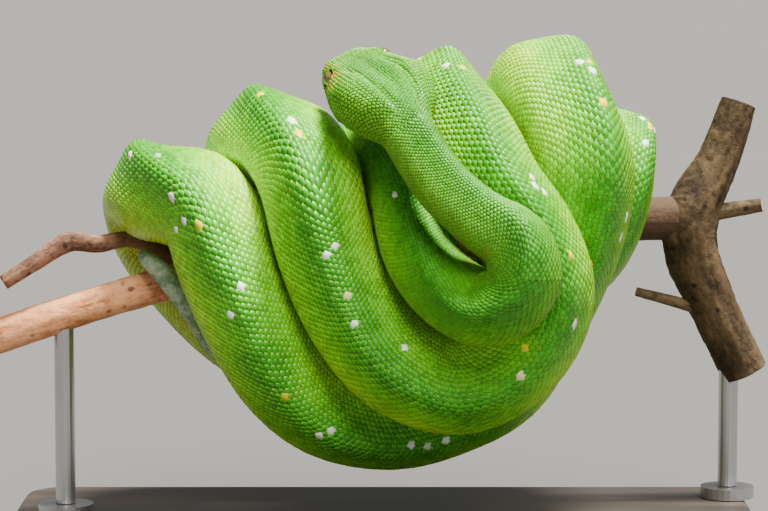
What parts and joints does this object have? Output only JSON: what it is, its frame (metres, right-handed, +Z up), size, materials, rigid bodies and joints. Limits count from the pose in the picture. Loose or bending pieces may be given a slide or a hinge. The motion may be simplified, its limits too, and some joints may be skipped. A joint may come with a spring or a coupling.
{
  "type": "coiled green tree python model",
  "caption": "Life-size green tree python at rest, its coils draped over a short cut branch with the head laid on top, held on a plain flat base by short rods.",
  "frame": {"origin": "on the underside of the stand's base, below the middle of the coil", "axes": "+X along the branch to the snake's coil and forked end, +Y away from the viewer of the resting head, +Z up"},
  "size_m": [0.2841, 0.1919, 0.1831],
  "materials": {
    "skin": "smooth green scaled skin with a soft sheen",
    "eye": "glossy eye under a clear scale, upright slit pupil",
    "bark": "rough pinkish-brown bark, sawn ends",
    "twig_bark": "thin grey-brown bark",
    "stand_base": "satin black lacquered board",
    "stand_steel": "brushed rods and feet"
  },
  "bodies": {
    "root": {"eye_left": "eye", "eye_right": "eye", "head": "skin", "neck": "skin", "perch_branch": "bark", "perch_spur": "twig_bark", "perch_stub": "twig_bark", "perch_trunk": "bark", "perch_twig": "twig_bark", "stand_base": "stand_base", "stand_foot_left": "stand_steel", "stand_foot_right": "stand_steel", "stand_rod_left": "stand_steel", "stand_rod_right": "stand_steel", "tail": "skin", "trunk_01": "skin", "trunk_02": "skin", "trunk_03": "skin", "trunk_04": "skin", "trunk_05": "skin", "trunk_06": "skin", "trunk_07": "skin", "trunk_08": "skin", "trunk_09": "skin", "trunk_10": "skin", "trunk_11": "skin"}
  },
  "joints": []
}
